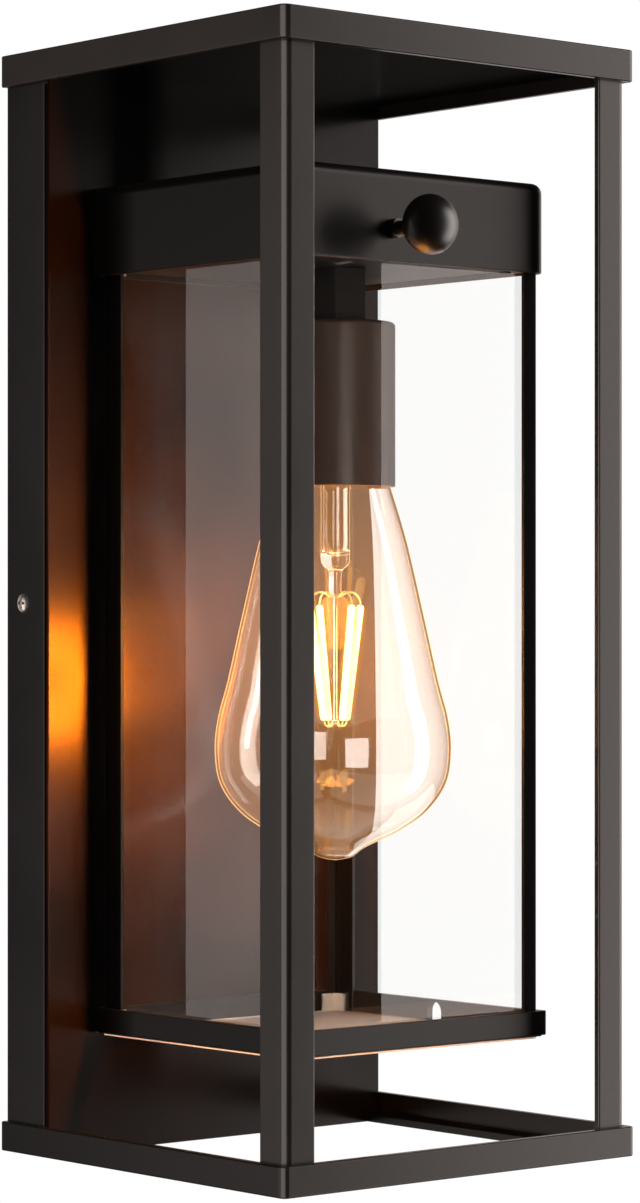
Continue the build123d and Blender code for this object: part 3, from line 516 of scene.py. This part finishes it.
# bulb glass: the outline in millimetres from the neck's top to the pip, then back up inside the wall
bulbShape = {"turns": 128, "steps": 8, "wall": 0.8,
             "side": [(11.9, 50.0), (11.9, 45.0), (14.3, 35.0), (19.6, 17.4), (24.4, -3.2), (28.4, -21.2),
                      (31.1, -31.5), (32.0, -40.5), (30.6, -49.6), (25.2, -57.4), (17.2, -63.0), (8.4, -67.2),
                      (4.6, -69.9), (0.0, -70.9)]}
side = smoothLine(bulbShape["side"], bulbShape["steps"])
inner = []
for index in range(len(side) - 1):
    along = (side[index + 1] - side[max(index - 1, 0)]).normalized()
    inward = Vector((along.y, -along.x))
    if inward.x > 0:
        inward = -inward
    inner.append(side[index] + inward * bulbShape["wall"])
inner.append(Vector((0, side[-1].y + bulbShape["wall"])))
bulbOutline = [(part.x * mm, part.y * mm) for part in side]
bulbOutline += [(max(part.x, 0) * mm, part.y * mm) for part in reversed(inner)]
bulbMesh = lathe("bulbEnvelope", bulbOutline, bulbShape["turns"], closed=True)
bulbEnvelope = addPiece("bulbEnvelope", bulbMesh, bulbTint, "bulb", "bulb_tint", "bulb_glass")

# stem: a hollow flare and tube, drawn down to a thin tube and the rod between the filaments
stemShape = {"turns": 64, "steps": 6,
             "side": [(10.4, 49.0), (7.6, 44.0), (4.9, 39.0), (4.1, 34.0), (4.0, 22.0), (4.0, 12.6),
                      (3.5, 10.4), (2.1, 9.2), (1.75, 7.6), (1.7, 3.2), (1.2, 2.4), (0.7, 1.8),
                      (0.55, -2.0), (0.55, -31.0), (1.1, -32.4), (0.9, -33.3), (0.0, -33.5)],
             "bore": [(0.0, 12.8), (2.2, 13.4), (3.2, 15.0), (3.25, 22.0), (3.3, 34.0), (4.1, 39.6),
                      (6.9, 44.4), (9.6, 49.0)]}
stemSide = []
for part in ("side", "bore"):
    stemSide += smoothLine(stemShape[part], stemShape["steps"])
stemOutline = [(max(part.x, 0) * mm, part.y * mm) for part in stemSide]
stemMesh = lathe("bulbStemTube", stemOutline, stemShape["turns"], closed=True)
addPiece("bulbStemTube", stemMesh, stemGlass, "bulb", "stem_glass", "bulb_stem")

# filaments: four coated sticks with round ends, each in a thin bloom of its own light
stick = {"angles": (-8, 82, 172, 262), "top": (8.3, -0.5), "bottom": (3.6, -32.5), "radius": 1.05,
         "bloom": 2.5, "overrun": 0.4, "sides": 20, "rings": 5}


def aroundLamp(radius, angle, height):
    turn = radians(angle)
    return Vector((lampX + radius * mm * cos(turn), lampY + radius * mm * sin(turn), height * mm))


def capsules(name, radius, overrun):
    sheet = bmesh.new()
    for angle in stick["angles"]:
        top = aroundLamp(stick["top"][0], angle, stick["top"][1])
        bottom = aroundLamp(stick["bottom"][0], angle, stick["bottom"][1])
        axis = (top - bottom).normalized()
        top, bottom = top + axis * overrun, bottom - axis * overrun
        aim = axis.to_track_quat("Z", "Y").to_matrix()
        rings = []
        for end, way in ((bottom, -1), (top, 1)):
            steps = range(stick["rings"]) if way < 0 else reversed(range(stick["rings"]))
            for step in steps:
                lean = pi / 2 * (step + 1) / stick["rings"]
                wide, high = radius * sin(lean), way * radius * (cos(lean) - 1)
                ring = []
                for turn in range(stick["sides"]):
                    spin = 2 * pi * turn / stick["sides"]
                    spot = Vector((wide * cos(spin), wide * sin(spin), high))
                    ring.append(sheet.verts.new(end + aim @ spot))
                rings.append(ring)
        for first, second in zip(rings, rings[1:]):
            for turn in range(stick["sides"]):
                after = (turn + 1) % stick["sides"]
                sheet.faces.new([first[turn], first[after], second[after], second[turn]])
        sheet.faces.new(list(reversed(rings[0])))
        sheet.faces.new(rings[-1])
    bmesh.ops.recalc_face_normals(sheet, faces=sheet.faces)
    for face in sheet.faces:
        face.smooth = True
    mesh = bpy.data.meshes.new(name)
    sheet.to_mesh(mesh)
    sheet.free()
    return mesh


bloomMesh = capsules("filamentBloom", stick["bloom"] * mm, stick["overrun"] * mm)
addPiece("filamentBloom", bloomMesh, filamentBloom, "bulb", "filament")
stickMesh = capsules("filamentSticks", stick["radius"] * mm, 0)
addPiece("filamentSticks", stickMesh, glowingFilament, "bulb", "filament", "filaments")

panes = [nodes["pane_front"], nodes["pane_left"], nodes["pane_right"]]
cards = linkedTo("bulbAndPanes", [bulbEnvelope] + panes, "INCLUDE")
for name in ("bulbLeftCard", "bulbFrontCard", "bulbRightCard"):
    boxLamps[name].visible_transmission = True
    boxLamps[name].light_linking.receiver_collection = cards
print("bulb made")


# ---- geometry nodes: a threaded barrel, and a screw head with a cross recess
def treeInputs(name, inputs):
    tree = bpy.data.node_groups.new(name, "GeometryNodeTree")
    for label, kind, value in inputs:
        socket = tree.interface.new_socket(label, in_out="INPUT", socket_type="NodeSocket" + kind)
        if value is not None:
            socket.default_value = value
    tree.interface.new_socket("Geometry", in_out="OUTPUT", socket_type="NodeSocketGeometry")
    return tree, tree.nodes.new("NodeGroupInput").outputs, tree.nodes.new("NodeGroupOutput").inputs


def finishTree(tree, geometry, material, output):
    real = addNode(tree, "GeometryNodeRealizeInstances", {"Geometry": geometry}).outputs[0]
    shaded = addNode(tree, "GeometryNodeSetMaterial", {"Geometry": real, "Material": material}).outputs[0]
    tree.links.new(shaded, output["Geometry"])


barrelTree, barrelIn, barrelOut = treeInputs("turnedBarrel", [
    ("Radius", "Float", 0.01), ("Length", "Float", 0.02), ("Pitch", "Float", 0.002),
    ("Thread Depth", "Float", 0.0), ("Around", "Int", 64), ("Along", "Int", 96),
    ("Material", "Material", None)])
sheetSize = {"Size X": 1.0, "Size Y": 1.0, "Vertices X": barrelIn["Around"], "Vertices Y": barrelIn["Along"]}
grid = addNode(barrelTree, "GeometryNodeMeshGrid", sheetSize).outputs["Mesh"]
place = addNode(barrelTree, "GeometryNodeInputPosition").outputs[0]
spot = addNode(barrelTree, "ShaderNodeSeparateXYZ", {0: place})
lap = calc(barrelTree, "ADD", spot.outputs["X"], 0.5)
turn = calc(barrelTree, "MULTIPLY", lap, 2 * pi)
share = calc(barrelTree, "ADD", spot.outputs["Y"], 0.5)
rise = calc(barrelTree, "MULTIPLY", share, barrelIn["Length"])
winds = calc(barrelTree, "SUBTRACT", calc(barrelTree, "DIVIDE", rise, barrelIn["Pitch"]), lap)
wave = calc(barrelTree, "COSINE", calc(barrelTree, "MULTIPLY", winds, 2 * pi))
groove = calc(barrelTree, "MULTIPLY", calc(barrelTree, "SUBTRACT", 1.0, wave), 0.5)
starting = spread(barrelTree, share, 0.0, 0.06)
ending = spread(barrelTree, share, 1.0, 0.94)
ends = calc(barrelTree, "MULTIPLY", starting, ending)
dip = calc(barrelTree, "MULTIPLY", calc(barrelTree, "MULTIPLY", groove, barrelIn["Thread Depth"]), ends)
wide = calc(barrelTree, "SUBTRACT", barrelIn["Radius"], dip)
rounded = addNode(barrelTree, "ShaderNodeCombineXYZ", {
    "X": calc(barrelTree, "MULTIPLY", wide, calc(barrelTree, "COSINE", turn)),
    "Y": calc(barrelTree, "MULTIPLY", wide, calc(barrelTree, "SINE", turn)), "Z": rise}).outputs[0]
rolled = addNode(barrelTree, "GeometryNodeSetPosition", {"Geometry": grid, "Position": rounded}).outputs[0]
welded = addNode(barrelTree, "GeometryNodeMergeByDistance", {"Geometry": rolled, "Distance": 1e-5}).outputs[0]
finishTree(barrelTree, welded, barrelIn["Material"], barrelOut)

headTree, headIn, headOut = treeInputs("crossHead", [
    ("Radius", "Float", 0.0036), ("Height", "Float", 0.0022), ("Slot Width", "Float", 0.0009),
    ("Slot Length", "Float", 0.0036), ("Slot Depth", "Float", 0.0012), ("Around", "Int", 48),
    ("Material", "Material", None)])
ballSize = {"Segments": headIn["Around"], "Rings": 32, "Radius": 1.0}
ball = addNode(headTree, "GeometryNodeMeshUVSphere", ballSize).outputs["Mesh"]
domeSize = addNode(headTree, "ShaderNodeCombineXYZ", {"X": headIn["Radius"], "Y": headIn["Radius"],
                                                      "Z": headIn["Height"]}).outputs[0]
dome = addNode(headTree, "GeometryNodeTransform", {"Geometry": ball, "Scale": domeSize}).outputs[0]
deep = calc(headTree, "MULTIPLY", headIn["Slot Depth"], 2.0)
lift = addNode(headTree, "ShaderNodeCombineXYZ", {"Z": headIn["Height"]}).outputs[0]
block = addNode(headTree, "GeometryNodeMeshCube", {"Size": (0.1, 0.1, 0.1)}).outputs["Mesh"]
lowered = {"Geometry": block, "Translation": (0, 0, -0.05)}
cutters = [addNode(headTree, "GeometryNodeTransform", lowered).outputs[0]]
for across, along in (("Slot Length", "Slot Width"), ("Slot Width", "Slot Length")):
    sides = {"X": headIn[across], "Y": headIn[along], "Z": deep}
    size = addNode(headTree, "ShaderNodeCombineXYZ", sides).outputs[0]
    cube = addNode(headTree, "GeometryNodeMeshCube", {"Size": size}).outputs["Mesh"]
    raised = {"Geometry": cube, "Translation": lift}
    cutters.append(addNode(headTree, "GeometryNodeTransform", raised).outputs[0])
shape = dome
for cutter in cutters:
    cut = addNode(headTree, "GeometryNodeMeshBoolean", operation="DIFFERENCE")
    headTree.links.new(shape, cut.inputs["Mesh 1"])
    headTree.links.new(cutter, cut.inputs["Mesh 2"])
    shape = cut.outputs["Mesh"]
finishTree(headTree, shape, headIn["Material"], headOut)


def growMesh(name, tree, values):
    holder = bpy.data.objects.new(name, bpy.data.meshes.new(name))
    scene.collection.objects.link(holder)
    modifier = holder.modifiers.new("shape", "NODES")
    modifier.node_group = tree
    for item in tree.interface.items_tree:
        if item.item_type == "SOCKET" and item.in_out == "INPUT" and item.name in values:
            modifier[item.identifier] = values[item.name]
    graph = bpy.context.evaluated_depsgraph_get()
    mesh = bpy.data.meshes.new_from_object(holder.evaluated_get(graph))
    holder.modifiers.remove(modifier)
    bpy.data.objects.remove(holder)
    return mesh


def joined(name, parts):
    sheet = bmesh.new()
    for mesh, matrix in parts:
        part = mesh.copy()
        part.transform(matrix)
        sheet.from_mesh(part)
    for edge in sheet.edges:
        edge.smooth = len(edge.link_faces) < 2 or edge.calc_face_angle(0.0) < radians(38)
    for face in sheet.faces:
        face.smooth = True
    mesh = bpy.data.meshes.new(name)
    sheet.to_mesh(mesh)
    sheet.free()
    return mesh


def barrel(name, material, radius, length, pitch, depth, around=64, along=96):
    values = {"Radius": radius * mm, "Length": length * mm, "Pitch": pitch * mm, "Thread Depth": depth * mm,
              "Around": around + 1, "Along": along, "Material": material}
    return growMesh(name, barrelTree, values)


# side screws: a shallow domed head outside each flange of the pan, and a threaded shank inside it
sideScrew = {"radius": 2.7, "slotWidth": 0.7, "slotLength": 2.9, "slotDepth": 0.6, "shank": 1.85,
             "length": 6.5, "thread": 0.28, "pitch": 0.8}
lowSide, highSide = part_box("side_screws")
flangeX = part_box("back_pan")[1].x
screwY, screwZ = (lowSide.y + highSide.y) / 2, (lowSide.z + highSide.z) / 2
dome = growMesh("sideScrewHead", headTree, {
    "Radius": sideScrew["radius"] * mm, "Height": highSide.x - flangeX,
    "Slot Width": sideScrew["slotWidth"] * mm, "Slot Length": sideScrew["slotLength"] * mm,
    "Slot Depth": sideScrew["slotDepth"] * mm, "Material": screwNickel})
shank = barrel("sideScrewShank", screwNickel, sideScrew["shank"], sideScrew["length"], sideScrew["pitch"],
               sideScrew["thread"])
parts = []
for way in (-1, 1):
    aim = Matrix.Translation((way * flangeX, screwY, screwZ)) @ Matrix.Rotation(way * pi / 2, 4, "Y")
    parts.append((dome, aim))
    parts.append((shank, aim @ Matrix.Translation((0, 0, -sideScrew["length"] * mm))))
screwMesh = joined("sideScrewPair", parts)
addPiece("sideScrewPair", screwMesh, screwNickel, "housing", "zinc_steel", "side_screws")

# bulb cap: the rolled screw thread, with a plain skirt below it and a shoulder up to the insulator
capShape = {"low": 46.0, "length": 18.0, "pitch": 3.6, "depth": 1.15, "radius": 12.95,
            "skirt": [(11.9, 43.6), (12.75, 43.6), (12.9, 44.2), (12.95, 46.0)],
            "shoulder": [(12.95, 64.0), (11.6, 65.4), (9.4, 66.2), (6.0, 66.4)]}
thread = barrel("capThread", capBrass, capShape["radius"], capShape["length"], capShape["pitch"],
                capShape["depth"], around=96, along=160)
parts = [(thread, Matrix.Translation((lampX, lampY, capShape["low"] * mm)))]
for part in ("skirt", "shoulder"):
    outline = [(radius * mm, height * mm) for radius, height in capShape[part]]
    parts.append((lathe("cap" + part, outline, 96), Matrix.Identity(4)))
addPiece("bulbCapThreaded", joined("bulbCapThreaded", parts), capBrass, "bulb", "cap_brass", "bulb_cap")
print("threads and screws made")
